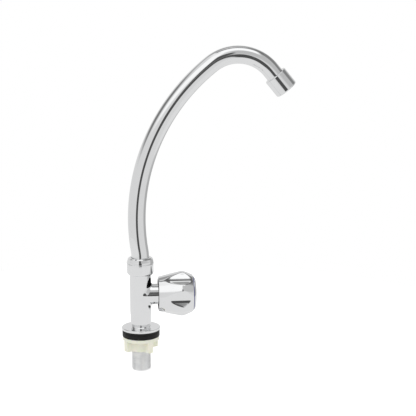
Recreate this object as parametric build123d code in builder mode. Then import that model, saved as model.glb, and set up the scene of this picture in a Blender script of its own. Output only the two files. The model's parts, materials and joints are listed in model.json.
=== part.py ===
from build123d import *
import os
from math import cos, pi, radians, sin

# Pillar tap with a swan-neck swivel spout and a side knob, in millimetres.
# The origin is on the shank's axis at deck level, the underside of the base seal.
# +Z is up, and +X points to the knob and to the side that the spout's outlet is on.

# Clearances
running_clearance = 0.08
seal_clearance = 0.02
face_clearance = 0.05
thread_clearance = 0.12
guide_clearance = 0.15
loose_clearance = 0.35

# Shank with its pipe thread, and the spigot that screws into the body
shank_thread_radius = 10.4775
shank_drop = 43.0
shank_chamfer = 1.2
shank_bore_radius = 6.75
shank_neck_radius = 10.1
shank_spigot_radius = 8.6
shank_spigot_length = 12.1

# Base flange, seal and clamp washer
flange_radius = 20.9
flange_rim_thickness = 2.6
flange_rise = 0.4
flange_edge_fillet = 0.8
base_seal_radius = 20.4
base_seal_thickness = 2.5
clamp_washer_radius = 20.3
clamp_washer_thickness = 5.15
deck_washer_play = 0.4

# Plastic backnut with wings
backnut_flange_radius = 19.9
backnut_flange_thickness = 3.6
backnut_height = 15.35
backnut_hub_radius = 13.0
backnut_wing_count = 4
backnut_wing_angle = 29.0
backnut_wing_thickness = 6.0
backnut_wing_top_radius = 19.8
backnut_wing_foot_radius = 19.6
backnut_foot_fillet = 0.6
backnut_root_fillet = 2.5

# Tap body
neck_height = 3.4
body_foot_radius = 11.15
body_foot_height = 9.3
body_foot_chamfer = 0.5
body_step_rise = 2.4
body_radius = 11.6
body_height = 67.5
valve_axis_height = 32.1
spout_bore_radius = 8.6
spout_bore_depth = 18.4
lower_passage_radius = 4.0
lower_passage_offset = 5.5
shank_socket_extra = 2.0
upper_passage_radius = 4.0
upper_passage_offset = 5.0

# Side boss, valve chamber and seat
boss_radius = 11.4
boss_reach = 21.5
boss_edge_chamfer = 0.4
bonnet_thread_radius = 8.33
chamber_radius = 7.3
chamber_floor_x = 1.2
seat_recess_depth = 1.2
seat_outer_radius = 6.0
seat_bore_radius = 4.2
seat_height = 2.6
seat_lip_width = 0.7
seat_lip_height = 0.6

# Bonnet, the headwork that screws into the boss
bonnet_thread_length = 9.3
bonnet_seal_thickness = 1.2
bonnet_seal_radius = 10.6
bonnet_hex_across = 17.0
bonnet_hex_length = 4.8
bonnet_neck_radius = 7.0
bonnet_neck_length = 9.0
bonnet_neck_chamfer = 0.5
guide_hex_across = 9.0
guide_length = 7.0

# Spindle with its O-rings and clip
spindle_skirt_radius = 6.0
spindle_skirt_length = 6.7
spindle_shaft_radius = 4.5
spindle_thread_radius = 3.4
spindle_thread_depth = 10.1
spindle_groove_depth = 1.0
spindle_groove_width = 1.6
spindle_groove_start = 10.9
spindle_groove_pitch = 2.8
clip_thickness = 0.8
clip_play = 0.1
clip_groove_radius = 3.8
clip_radius = 5.8
clip_gap = 5.5
spline_tip_radius = 4.0
spline_root_radius = 3.6
spline_teeth = 20
spline_length = 8.9
spindle_screw_hole_depth = 8.0

# Valve carrier, its washer and screw
jumper_washer_radius = 6.3
jumper_washer_thickness = 3.0
carrier_head_radius = 6.5
carrier_head_thickness = 2.0
carrier_hex_length = 7.4
carrier_stem_length = 10.0
jumper_screw_radius = 1.5
jumper_screw_head_radius = 2.6
jumper_screw_head_thickness = 1.2
jumper_screw_length = 5.6
jumper_slot_width = 0.8
jumper_slot_depth = 0.6

# Knob, a double cone with six flutes
knob_rear_gap = 2.3
knob_rear_radius = 18.8
knob_flare_length = 26.4
knob_knee_radius = 25.2
knob_taper_length = 10.2
knob_nose_radius = 20.5
knob_nose_length = 1.0
knob_face_radius = 19.0
knob_knee_fillet = 7.5
knob_rear_fillet = 0.6
knob_mouth_radius = 16.8
knob_mouth_depth = 22.8
knob_hub_radius = 9.0
knob_hub_gap = 0.5
knob_lip_thickness = 1.2
knob_recess_depth = 5.9
flute_count = 6
flute_start_angle = 2.4
flute_scoop_radius = 19.0
flute_floor_radius = 20.9

# Knob bush and screw
bush_radius = 6.5
knob_screw_radius = 1.95
knob_screw_head_radius = 4.2
knob_screw_head_thickness = 2.6
knob_screw_tip_gap = 0.8
screw_counterbore_radius = 5.0
screw_slot_width = 1.0
screw_slot_depth = 0.9

# Index ring and cap on the knob's face
index_ring_radius = 18.5
index_ring_thickness = 0.8
index_plug_radius = 12.1
index_plug_depth = 5.0
index_plug_wall = 1.2
index_cap_radius = 18.1
index_cap_edge = 0.3
index_cap_rise = 2.9
index_cap_crown_radius = 14.5
index_cap_crown_rise = 1.05

# Spout nut and slip ring
nut_radius = 14.5
nut_collar_radius = 14.2
nut_skirt_length = 12.9
nut_foot_chamfer = 2.4
nut_groove_depth = 0.35
nut_groove_width = 0.6
nut_collar_height = 4.8
nut_shoulder_radius = 13.1
nut_cone_height = 1.2
nut_top_radius = 11.8
nut_lip_thickness = 2.4
slip_ring_thickness = 1.2
slip_ring_width = 1.8
slip_ring_gap = 2.0

# Spout tail, the bush brazed into the foot of the tube
tail_spigot_length = 15.9
tail_bore_radius = 6.3
tail_collar_radius = 11.3
tail_collar_thickness = 2.2
tail_plug_length = 3.2
tail_chamfer = 0.6
tail_groove_depth = 1.5
tail_groove_width = 2.2
tail_groove_start = 3.0
tail_groove_pitch = 6.0

# Spout tube
tube_radius = 9.5
tube_wall = 1.1
tube_straight = 4.6
back_bend_radius = 40.0
back_bend_angle = 9.1
long_bend_radius = 210.9
long_bend_angle = 60.9
crook_radius = 45.6
crook_angle = 88.4
outlet_run = 7.0
tube_in_collar = 7.0

# Outlet collar and the aerator in it
collar_radius = 12.5
collar_length = 20.0
collar_top_fillet = 0.7
collar_rim_fillet = 1.4
collar_step_length = 2.5
aerator_thread_radius = 10.3
aerator_washer_thickness = 1.8
aerator_washer_bore = 7.6
aerator_body_length = 7.6
aerator_bore_radius = 8.9
aerator_lip_radius = 8.0
aerator_lip_thickness = 0.8
aerator_notch_width = 2.4
aerator_notch_count = 4
aerator_core_inset = 1.0
aerator_core_thickness = 4.4
aerator_core_hole_radius = 1.2
aerator_core_hole_circle = 5.6
aerator_core_hole_count = 8
mesh_thickness = 0.6
mesh_pitch = 1.9
mesh_hole = 1.3
mesh_holes_across = 8
mesh_rim_width = 0.9

# Heights along the body
flange_bottom_z = base_seal_thickness
flange_rim_z = flange_bottom_z + flange_rim_thickness
flange_top_z = flange_rim_z + flange_rise
body_bottom_z = flange_top_z + neck_height
body_step_z = body_bottom_z + body_foot_height
body_top_z = body_bottom_z + body_height
valve_axis_z = body_bottom_z + valve_axis_height
shank_top_z = body_bottom_z + shank_spigot_length
spout_bore_floor_z = body_top_z - spout_bore_depth
washer_top_z = -face_clearance
washer_bottom_z = washer_top_z - clamp_washer_thickness
backnut_top_z = washer_bottom_z - face_clearance
backnut_flange_bottom_z = backnut_top_z - backnut_flange_thickness
backnut_bottom_z = backnut_top_z - backnut_height
tail_collar_z = body_top_z + face_clearance
tube_foot_z = tail_collar_z + tail_collar_thickness
slip_ring_z = tube_foot_z + face_clearance
nut_lip_z = slip_ring_z + slip_ring_thickness
nut_top_z = nut_lip_z + nut_lip_thickness
nut_bottom_z = body_top_z - nut_skirt_length
nut_collar_z = nut_top_z - nut_cone_height - nut_collar_height

# Places along the valve's axis, from the shank's axis
seat_face_x = chamber_floor_x - seat_recess_depth + seat_height
washer_face_x = seat_face_x + face_clearance
carrier_head_x = washer_face_x + jumper_washer_thickness
carrier_hex_x = carrier_head_x + carrier_head_thickness
carrier_stem_x = carrier_hex_x + carrier_hex_length
carrier_end_x = carrier_stem_x + carrier_stem_length
bonnet_foot_x = boss_reach - bonnet_thread_length
bonnet_hex_x = boss_reach + bonnet_seal_thickness
bonnet_neck_x = bonnet_hex_x + bonnet_hex_length
bonnet_end_x = bonnet_neck_x + bonnet_neck_length
skirt_start_x = bonnet_foot_x + guide_length + face_clearance
skirt_end_x = skirt_start_x + spindle_skirt_length
clip_x = bonnet_end_x + clip_play
spline_start_x = clip_x + clip_thickness + clip_play
spindle_end_x = spline_start_x + spline_length
bush_start_x = spline_start_x + knob_hub_gap
bush_end_x = spindle_end_x + knob_hub_gap
knob_seat_x = bush_end_x + knob_lip_thickness
knob_rear_x = boss_reach - knob_rear_gap
knob_knee_x = knob_rear_x + knob_flare_length
knob_nose_x = knob_knee_x + knob_taper_length
knob_face_x = knob_nose_x + knob_nose_length
index_cap_x = knob_face_x + index_ring_thickness

# Outlet, at the end of the bends
outlet_angle = 90.0 + back_bend_angle - long_bend_angle - crook_angle
outlet_direction = Vector(cos(radians(outlet_angle)), 0, sin(radians(outlet_angle)))

valve_axis = Axis((0, 0, valve_axis_z), (1, 0, 0))
# On this plane the first coordinate is a radius and the second runs along the valve.
valve_side = Plane(origin=(0, 0, valve_axis_z), x_dir=(0, 0, 1), z_dir=(0, 1, 0))


def valve_section(x):
    """Plane across the valve's axis at a distance x from the shank's axis."""
    return Plane(origin=(x, 0, valve_axis_z), x_dir=(0, -1, 0), z_dir=(1, 0, 0))


def band(inner, outer, start, end, mode=Mode.ADD):
    """Rectangle from one radius to another, between two places along an axis."""
    with Locations((inner, start)):
        Rectangle(outer - inner, end - start, align=(Align.MIN, Align.MIN), mode=mode)


def outline(*points):
    """Closed face through the points of a half section."""
    Polygon(*points, align=None)


def hexagon(across):
    """Hexagon by its size across the flats."""
    RegularPolygon(across / 2, 6, major_radius=False)


def spline_outline(mode=Mode.ADD):
    """Toothed outline of the splined spindle end."""
    step = pi / spline_teeth
    points = []
    for index in range(2 * spline_teeth):
        radius = spline_tip_radius if index % 2 == 0 else spline_root_radius
        points.append((radius * cos(index * step), radius * sin(index * step)))
    Polygon(*points, align=None, mode=mode)


os.makedirs("parts", exist_ok=True)

# Shank: threaded tail, neck under the body and spigot inside it
with BuildPart() as shank:
    with BuildSketch(Plane.XZ):
        band(shank_bore_radius, shank_thread_radius, -shank_drop, flange_bottom_z)
        band(shank_bore_radius, shank_neck_radius, flange_bottom_z, body_bottom_z)
        band(shank_bore_radius, shank_spigot_radius, body_bottom_z, shank_top_z)
    revolve(axis=Axis.Z)
    foot_edges = shank.edges().filter_by(GeomType.CIRCLE).group_by(Axis.Z)[0]
    chamfer(foot_edges.sort_by(SortBy.RADIUS)[-1], shank_chamfer)
shank.part.label = "shank"
export_step(shank.part, "parts/shank.step")

# Base flange: shallow cone pressed on the shank's neck
with BuildPart() as base_flange:
    with BuildSketch(Plane.XZ):
        outline(
            (shank_neck_radius, flange_bottom_z),
            (flange_radius, flange_bottom_z),
            (flange_radius, flange_rim_z),
            (shank_neck_radius, flange_top_z),
        )
    revolve(axis=Axis.Z)
    rim_edges = base_flange.edges().filter_by(GeomType.CIRCLE).group_by(SortBy.RADIUS)[-1]
    fillet(rim_edges.sort_by(Axis.Z)[-1], flange_edge_fillet)
base_flange.part.label = "base_flange"
export_step(base_flange.part, "parts/base_flange.step")

# Base seal: rubber ring between the flange and the deck
with BuildPart() as base_seal:
    with BuildSketch(Plane.XZ):
        band(shank_thread_radius + thread_clearance, base_seal_radius, 0, base_seal_thickness)
    revolve(axis=Axis.Z)
base_seal.part.label = "base_seal"
export_step(base_seal.part, "parts/base_seal.step")

# Clamp washer: thick rubber ring that rises under the deck
with BuildPart() as clamp_washer:
    with BuildSketch(Plane.XZ):
        washer_bore = shank_thread_radius + deck_washer_play
        band(washer_bore, clamp_washer_radius, washer_bottom_z, washer_top_z)
    revolve(axis=Axis.Z)
clamp_washer.part.label = "clamp_washer"
export_step(clamp_washer.part, "parts/clamp_washer.step")

# Backnut: flange and hub with tapered wings round it
with BuildPart() as backnut:
    with BuildSketch(Plane.XZ):
        band(0, backnut_flange_radius, backnut_flange_bottom_z, backnut_top_z)
        band(0, backnut_hub_radius, backnut_bottom_z, backnut_flange_bottom_z)
    revolve(axis=Axis.Z)
    for wing in range(backnut_wing_count):
        turn = radians(backnut_wing_angle + wing * 360 / backnut_wing_count)
        wing_side = Plane(
            origin=(0, 0, 0),
            x_dir=(cos(turn), sin(turn), 0),
            z_dir=(sin(turn), -cos(turn), 0),
        )
        with BuildSketch(wing_side):
            outline(
                (shank_thread_radius, backnut_flange_bottom_z),
                (backnut_wing_top_radius, backnut_flange_bottom_z),
                (backnut_wing_foot_radius, backnut_bottom_z),
                (shank_thread_radius, backnut_bottom_z),
            )
        extrude(amount=backnut_wing_thickness / 2, both=True)
    upright_edges = backnut.edges().filter_by(Axis.Z)
    fillet(upright_edges, backnut_root_fillet)
    foot_face = backnut.faces().sort_by(Axis.Z)[0]
    fillet(foot_face.edges(), backnut_foot_fillet)
    with BuildSketch(Plane.XY.offset(backnut_bottom_z)):
        Circle(shank_thread_radius + thread_clearance)
    extrude(amount=backnut_height, mode=Mode.SUBTRACT)
backnut.part.label = "backnut"
export_step(backnut.part, "parts/backnut.step")

# Tap body: tee casting with the waterway from the shank to the spout
with BuildPart() as tap_body:
    with BuildSketch(Plane.XZ):
        outline(
            (0, body_bottom_z),
            (body_foot_radius - body_foot_chamfer, body_bottom_z),
            (body_foot_radius, body_bottom_z + body_foot_chamfer),
            (body_foot_radius, body_step_z),
            (body_radius, body_step_z + body_step_rise),
            (body_radius, body_top_z),
            (0, body_top_z),
        )
    revolve(axis=Axis.Z)
    with BuildSketch(valve_side):
        outline(
            (0, 0),
            (boss_radius, 0),
            (boss_radius, boss_reach - boss_edge_chamfer),
            (boss_radius - boss_edge_chamfer, boss_reach),
            (0, boss_reach),
        )
    revolve(axis=valve_axis)
    # Sockets for the shank and for the spout's tail
    with BuildSketch(Plane.XZ):
        band(0, shank_spigot_radius, body_bottom_z, shank_top_z + shank_socket_extra)
        band(0, spout_bore_radius, spout_bore_floor_z, body_top_z)
    revolve(axis=Axis.Z, mode=Mode.SUBTRACT)
    # Lower passage, up to the back of the seat
    with BuildSketch(Plane.XY.offset(shank_top_z)):
        with Locations((-lower_passage_offset, 0)):
            Circle(lower_passage_radius)
    extrude(amount=valve_axis_z + seat_bore_radius - shank_top_z, mode=Mode.SUBTRACT)
    # Upper passage, from the valve chamber to the spout
    with BuildSketch(Plane.XY.offset(valve_axis_z)):
        with Locations((upper_passage_offset, 0)):
            Circle(upper_passage_radius)
    extrude(amount=spout_bore_floor_z - valve_axis_z, mode=Mode.SUBTRACT)
    # Seat bore, seat recess, valve chamber and the bonnet's thread
    with BuildSketch(valve_side):
        seat_recess_x = chamber_floor_x - seat_recess_depth
        band(0, seat_bore_radius, -lower_passage_offset, chamber_floor_x)
        band(0, seat_outer_radius, seat_recess_x, chamber_floor_x)
        band(0, chamber_radius, chamber_floor_x, bonnet_foot_x)
        band(0, bonnet_thread_radius, bonnet_foot_x, boss_reach)
    revolve(axis=valve_axis, mode=Mode.SUBTRACT)
tap_body.part.label = "tap_body"
export_step(tap_body.part, "parts/tap_body.step")

# Valve seat: ring with a raised lip, pressed into the partition
with BuildPart() as valve_seat:
    with BuildSketch(valve_side):
        band(seat_bore_radius, seat_outer_radius, seat_recess_x, seat_face_x - seat_lip_height)
        band(
            seat_bore_radius,
            seat_bore_radius + seat_lip_width,
            seat_face_x - seat_lip_height,
            seat_face_x,
        )
    revolve(axis=valve_axis)
valve_seat.part.label = "valve_seat"
export_step(valve_seat.part, "parts/valve_seat.step")

# Jumper washer: rubber disc that closes the seat
with BuildPart() as jumper_washer:
    with BuildSketch(valve_side):
        band(jumper_screw_radius, jumper_washer_radius, washer_face_x, carrier_head_x)
    revolve(axis=valve_axis)
jumper_washer.part.label = "jumper_washer"
export_step(jumper_washer.part, "parts/jumper_washer.step")

# Jumper screw: holds the washer on the carrier
with BuildPart() as jumper_screw:
    with BuildSketch(valve_side):
        head_start_x = washer_face_x - jumper_screw_head_thickness
        band(0, jumper_screw_head_radius, head_start_x, washer_face_x)
        band(0, jumper_screw_radius, washer_face_x, washer_face_x + jumper_screw_length)
    revolve(axis=valve_axis)
    with BuildSketch(valve_section(head_start_x)):
        Rectangle(2 * jumper_screw_head_radius, jumper_slot_width)
    extrude(amount=jumper_slot_depth, mode=Mode.SUBTRACT)
jumper_screw.part.label = "jumper_screw"
export_step(jumper_screw.part, "parts/jumper_screw.step")

# Valve carrier: disc, hexagon that can't turn in the bonnet, and threaded stem
with BuildPart() as valve_carrier:
    with BuildSketch(valve_side):
        band(0, carrier_head_radius, carrier_head_x, carrier_hex_x)
        band(0, spindle_thread_radius, carrier_stem_x, carrier_end_x)
    revolve(axis=valve_axis)
    with BuildSketch(valve_section(carrier_hex_x)):
        hexagon(guide_hex_across)
    extrude(amount=carrier_hex_length)
    with BuildSketch(valve_section(carrier_head_x)):
        Circle(jumper_screw_radius)
    extrude(amount=jumper_screw_length - jumper_washer_thickness, mode=Mode.SUBTRACT)
valve_carrier.part.label = "valve_carrier"
export_step(valve_carrier.part, "parts/valve_carrier.step")

# Bonnet: threaded barrel, hexagon flange and neck round the spindle
with BuildPart() as bonnet:
    with BuildSketch(valve_side):
        band(0, bonnet_thread_radius, bonnet_foot_x, bonnet_hex_x)
        outline(
            (0, bonnet_neck_x),
            (bonnet_neck_radius, bonnet_neck_x),
            (bonnet_neck_radius, bonnet_end_x - bonnet_neck_chamfer),
            (bonnet_neck_radius - bonnet_neck_chamfer, bonnet_end_x),
            (0, bonnet_end_x),
        )
    revolve(axis=valve_axis)
    with BuildSketch(valve_section(bonnet_hex_x)):
        hexagon(bonnet_hex_across)
    extrude(amount=bonnet_hex_length)
    with BuildSketch(valve_section(bonnet_foot_x)):
        hexagon(guide_hex_across + 2 * guide_clearance)
    extrude(amount=guide_length, mode=Mode.SUBTRACT)
    with BuildSketch(valve_side):
        skirt_bore = spindle_skirt_radius + running_clearance
        shaft_bore = spindle_shaft_radius + running_clearance
        band(0, skirt_bore, bonnet_foot_x + guide_length, skirt_end_x + face_clearance)
        band(0, shaft_bore, skirt_end_x + face_clearance, bonnet_end_x)
    revolve(axis=valve_axis, mode=Mode.SUBTRACT)
bonnet.part.label = "bonnet"
export_step(bonnet.part, "parts/bonnet.step")

# Bonnet seal: ring between the boss and the bonnet's hexagon
with BuildPart() as bonnet_seal:
    with BuildSketch(valve_side):
        band(bonnet_thread_radius, bonnet_seal_radius, boss_reach, bonnet_hex_x)
    revolve(axis=valve_axis)
bonnet_seal.part.label = "bonnet_seal"
export_step(bonnet_seal.part, "parts/bonnet_seal.step")

# Spindle: skirt with the stem's thread inside, shaft with two grooves, splined end
groove_floor_radius = spindle_shaft_radius - spindle_groove_depth
groove_starts = [skirt_start_x + spindle_groove_start + i * spindle_groove_pitch for i in range(2)]
with BuildPart() as spindle:
    with BuildSketch(valve_side):
        band(0, spindle_skirt_radius, skirt_start_x, skirt_end_x)
        band(0, spindle_shaft_radius, skirt_end_x, spline_start_x)
        for groove_x in groove_starts:
            groove_end_x = groove_x + spindle_groove_width
            band(groove_floor_radius, spindle_shaft_radius, groove_x, groove_end_x, Mode.SUBTRACT)
        band(clip_groove_radius, spindle_shaft_radius, clip_x, clip_x + clip_thickness, Mode.SUBTRACT)
        thread_bore = spindle_thread_radius + thread_clearance
        thread_end_x = skirt_start_x + spindle_thread_depth
        band(0, thread_bore, skirt_start_x, thread_end_x, Mode.SUBTRACT)
    revolve(axis=valve_axis)
    with BuildSketch(valve_section(spline_start_x)):
        spline_outline()
    extrude(amount=spline_length)
    with BuildSketch(valve_section(spindle_end_x)):
        Circle(knob_screw_radius)
    extrude(amount=-spindle_screw_hole_depth, mode=Mode.SUBTRACT)
spindle.part.label = "spindle"
export_step(spindle.part, "parts/spindle.step")

# Spindle O-rings, each in its groove
o_ring_outer = spindle_shaft_radius + running_clearance - seal_clearance
o_ring_section = (o_ring_outer - groove_floor_radius) / 2
o_ring_centre_radius = groove_floor_radius + o_ring_section
for name, groove_x in zip(("spindle_o_ring_inner", "spindle_o_ring_outer"), groove_starts):
    with BuildPart() as spindle_o_ring:
        with BuildSketch(valve_side):
            with Locations((o_ring_centre_radius, groove_x + spindle_groove_width / 2)):
                Circle(o_ring_section)
        revolve(axis=valve_axis)
    spindle_o_ring.part.label = name
    export_step(spindle_o_ring.part, f"parts/{name}.step")

# Spindle clip: open ring that holds the spindle in the bonnet
with BuildPart() as spindle_clip:
    with BuildSketch(valve_section(clip_x)):
        Circle(clip_radius)
        Circle(clip_groove_radius, mode=Mode.SUBTRACT)
        with Locations((clip_radius, 0)):
            Rectangle(2 * clip_radius, clip_gap, mode=Mode.SUBTRACT)
    extrude(amount=clip_thickness)
spindle_clip.part.label = "spindle_clip"
export_step(spindle_clip.part, "parts/spindle_clip.step")

# Knob: hollow double cone with flutes, a hub for the bush and a recess for the cap
with BuildPart() as knob:
    with BuildSketch(valve_side):
        with BuildLine():
            rim = Polyline(
                (0, knob_rear_x),
                (knob_rear_radius, knob_rear_x),
                (knob_knee_radius, knob_knee_x),
                (knob_nose_radius, knob_nose_x),
            )
            nose = TangentArc(rim @ 1, (knob_face_radius, knob_face_x), tangent=rim % 1)
            Polyline(nose @ 1, (0, knob_face_x), rim @ 0)
        make_face()
    revolve(axis=valve_axis)
    rear_face = knob.faces().sort_by(Axis.X)[0]
    fillet(rear_face.edges(), knob_rear_fillet)
    knee_edge = knob.edges().filter_by(GeomType.CIRCLE).sort_by(SortBy.RADIUS)[-1]
    fillet(knee_edge, knob_knee_fillet)
    with BuildSketch(valve_section(knob_rear_x)):
        with PolarLocations(flute_floor_radius + flute_scoop_radius, flute_count, flute_start_angle):
            Circle(flute_scoop_radius)
    extrude(amount=knob_face_x - knob_rear_x, mode=Mode.SUBTRACT)
    with BuildSketch(valve_side):
        mouth_end_x = knob_rear_x + knob_mouth_depth
        recess_floor_x = knob_face_x - knob_recess_depth
        band(0, knob_mouth_radius, knob_rear_x, bush_start_x)
        band(knob_hub_radius, knob_mouth_radius, bush_start_x, mouth_end_x)
        band(0, bush_radius, bush_start_x, bush_end_x)
        band(0, knob_screw_radius + thread_clearance, bush_end_x, knob_seat_x)
        band(0, screw_counterbore_radius, knob_seat_x, recess_floor_x)
        band(0, index_plug_radius, recess_floor_x, knob_face_x)
    revolve(axis=valve_axis, mode=Mode.SUBTRACT)
knob.part.label = "knob"
export_step(knob.part, "parts/knob.step")

# Knob bush: insert with the spindle's spline inside
with BuildPart() as knob_bush:
    with BuildSketch(valve_section(bush_start_x)):
        Circle(bush_radius)
        spline_outline(Mode.SUBTRACT)
    extrude(amount=bush_end_x - bush_start_x)
knob_bush.part.label = "knob_bush"
export_step(knob_bush.part, "parts/knob_bush.step")

# Knob screw: clamps the knob to the spindle
with BuildPart() as knob_screw:
    with BuildSketch(valve_side):
        knob_screw_foot_x = spindle_end_x - spindle_screw_hole_depth + knob_screw_tip_gap
        knob_screw_head_end_x = knob_seat_x + knob_screw_head_thickness
        band(0, knob_screw_radius, knob_screw_foot_x, knob_seat_x)
        band(0, knob_screw_head_radius, knob_seat_x, knob_screw_head_end_x)
    revolve(axis=valve_axis)
    with BuildSketch(valve_section(knob_screw_head_end_x)):
        Rectangle(2 * knob_screw_head_radius, screw_slot_width)
        Rectangle(screw_slot_width, 2 * knob_screw_head_radius)
    extrude(amount=-screw_slot_depth, mode=Mode.SUBTRACT)
knob_screw.part.label = "knob_screw"
export_step(knob_screw.part, "parts/knob_screw.step")

# Index ring: coloured ring between the knob's face and the cap
with BuildPart() as index_ring:
    with BuildSketch(valve_side):
        band(index_plug_radius, index_ring_radius, knob_face_x, index_cap_x)
    revolve(axis=valve_axis)
index_ring.part.label = "index_ring"
export_step(index_ring.part, "parts/index_ring.step")

# Index cap: domed cover with a hollow plug in the knob's recess
with BuildPart() as index_cap:
    with BuildSketch(valve_side):
        cap_edge_x = index_cap_x + index_cap_edge
        cap_top_x = cap_edge_x + index_cap_rise
        with BuildLine():
            crown_edge = (index_cap_crown_radius, cap_top_x - index_cap_crown_rise)
            crown = TangentArc((0, cap_top_x), crown_edge, tangent=(1, 0))
            shoulder = TangentArc(crown_edge, (index_cap_radius, cap_edge_x), tangent=crown % 1)
            Polyline(shoulder @ 1, (index_cap_radius, index_cap_x), (0, index_cap_x), crown @ 0)
        make_face()
        plug_start_x = knob_face_x - index_plug_depth
        band(index_plug_radius - index_plug_wall, index_plug_radius, plug_start_x, index_cap_x)
    revolve(axis=valve_axis)
index_cap.part.label = "index_cap"
export_step(index_cap.part, "parts/index_cap.step")

# Spout nut: round union nut with a chamfered foot, a groove, a tapered collar and a coned top
nut_bore_radius = body_radius + thread_clearance
nut_opening_radius = tube_radius + loose_clearance
with BuildPart() as spout_nut:
    with BuildSketch(Plane.XZ):
        outline(
            (nut_bore_radius, nut_bottom_z),
            (nut_radius - nut_foot_chamfer, nut_bottom_z),
            (nut_radius, nut_bottom_z + nut_foot_chamfer),
            (nut_radius, nut_collar_z - nut_groove_width),
            (nut_collar_radius - nut_groove_depth, nut_collar_z - nut_groove_width),
            (nut_collar_radius - nut_groove_depth, nut_collar_z),
            (nut_collar_radius, nut_collar_z),
            (nut_shoulder_radius, nut_collar_z + nut_collar_height),
            (nut_top_radius, nut_top_z),
            (nut_opening_radius, nut_top_z),
            (nut_opening_radius, nut_lip_z),
            (nut_bore_radius, nut_lip_z),
        )
    revolve(axis=Axis.Z)
spout_nut.part.label = "spout_nut"
export_step(spout_nut.part, "parts/spout_nut.step")

# Slip ring: split ring under the nut's lip, round the tube
with BuildPart() as slip_ring:
    with BuildSketch(Plane.XY.offset(slip_ring_z)):
        Circle(nut_opening_radius + slip_ring_width)
        Circle(nut_opening_radius, mode=Mode.SUBTRACT)
        with Locations((-nut_opening_radius, 0)):
            Rectangle(4 * slip_ring_width, slip_ring_gap, mode=Mode.SUBTRACT)
    extrude(amount=slip_ring_thickness)
slip_ring.part.label = "slip_ring"
export_step(slip_ring.part, "parts/slip_ring.step")

# Spout tail: spigot with two grooves, collar on the body's top and plug in the tube
tube_bore_radius = tube_radius - tube_wall
tail_radius = spout_bore_radius - running_clearance
tail_foot_z = body_top_z - tail_spigot_length
tail_groove_floor = tail_radius - tail_groove_depth
tail_groove_starts = [tail_foot_z + tail_groove_start + i * tail_groove_pitch for i in range(2)]
with BuildPart() as spout_tail:
    with BuildSketch(Plane.XZ):
        outline(
            (tail_bore_radius, tail_foot_z),
            (tail_radius - tail_chamfer, tail_foot_z),
            (tail_radius, tail_foot_z + tail_chamfer),
            (tail_radius, tail_collar_z),
            (tail_collar_radius, tail_collar_z),
            (tail_collar_radius, tube_foot_z),
            (tube_bore_radius, tube_foot_z),
            (tube_bore_radius, tube_foot_z + tail_plug_length),
            (tail_bore_radius, tube_foot_z + tail_plug_length),
        )
        for groove_z in tail_groove_starts:
            groove_top_z = groove_z + tail_groove_width
            band(tail_groove_floor, tail_radius, groove_z, groove_top_z, Mode.SUBTRACT)
    revolve(axis=Axis.Z)
spout_tail.part.label = "spout_tail"
export_step(spout_tail.part, "parts/spout_tail.step")

# Spout O-rings, each in its groove of the tail
tail_ring_outer = spout_bore_radius - seal_clearance
tail_ring_section = (tail_ring_outer - tail_groove_floor) / 2
tail_ring_centre_radius = tail_groove_floor + tail_ring_section
for name, groove_z in zip(("spout_o_ring_lower", "spout_o_ring_upper"), tail_groove_starts):
    with BuildPart() as spout_o_ring:
        with BuildSketch(Plane.XZ):
            with Locations((tail_ring_centre_radius, groove_z + tail_groove_width / 2)):
                Circle(tail_ring_section)
        revolve(axis=Axis.Z)
    spout_o_ring.part.label = name
    export_step(spout_o_ring.part, f"parts/{name}.step")

# Spout tube: straight foot, slight lean back, long bend, crook and outlet run
with BuildPart() as spout_tube:
    with BuildLine(Plane.XZ) as spout_path:
        foot = Line((0, tube_foot_z), (0, tube_foot_z + tube_straight))
        lean = JernArc(foot @ 1, foot % 1, back_bend_radius, back_bend_angle)
        rise = JernArc(lean @ 1, lean % 1, long_bend_radius, -long_bend_angle)
        crook = JernArc(rise @ 1, rise % 1, crook_radius, -crook_angle)
        Line(crook @ 1, crook @ 1 + outlet_direction * (outlet_run + tube_in_collar))
    with BuildSketch(Plane.XY.offset(tube_foot_z)):
        Circle(tube_radius)
        Circle(tube_radius - tube_wall, mode=Mode.SUBTRACT)
    sweep(path=spout_path.wires()[0])
spout_tube.part.label = "spout_tube"
export_step(spout_tube.part, "parts/spout_tube.step")

# The collar's top is where the outlet run enters it.
collar_origin = crook @ 1 + outlet_direction * outlet_run
outlet_axis = Axis(collar_origin, outlet_direction)
outlet_across = Vector(-sin(radians(outlet_angle)), 0, cos(radians(outlet_angle)))
# On this plane the first coordinate is a radius and the second runs out of the spout.
outlet_side = Plane(origin=collar_origin, x_dir=outlet_across, z_dir=(0, 1, 0))
aerator_washer_start = tube_in_collar + collar_step_length
aerator_start = aerator_washer_start + aerator_washer_thickness
aerator_end = aerator_start + aerator_body_length
aerator_core_start = aerator_start + aerator_core_inset
mesh_start = aerator_end - aerator_lip_thickness - mesh_thickness


def outlet_section(distance):
    """Plane across the outlet at a distance from the collar's top."""
    origin = collar_origin + outlet_direction * distance
    return Plane(origin=origin, x_dir=outlet_across, z_dir=outlet_direction)


# Outlet collar: sleeve soldered on the tube, threaded inside for the aerator
with BuildPart() as outlet_collar:
    with BuildSketch(outlet_side):
        band(tube_radius, collar_radius, 0, tube_in_collar)
        band(tube_bore_radius, collar_radius, tube_in_collar, aerator_washer_start)
        band(aerator_thread_radius, collar_radius, aerator_washer_start, collar_length)
    revolve(axis=outlet_axis)
    top_edges = outlet_collar.edges().filter_by(GeomType.CIRCLE).group_by(outlet_axis)[0]
    fillet(top_edges.sort_by(SortBy.RADIUS)[-1], collar_top_fillet)
    rim_edges = outlet_collar.edges().filter_by(GeomType.CIRCLE).group_by(outlet_axis)[-1]
    fillet(rim_edges.sort_by(SortBy.RADIUS)[-1], collar_rim_fillet)
outlet_collar.part.label = "outlet_collar"
export_step(outlet_collar.part, "parts/outlet_collar.step")

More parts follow.
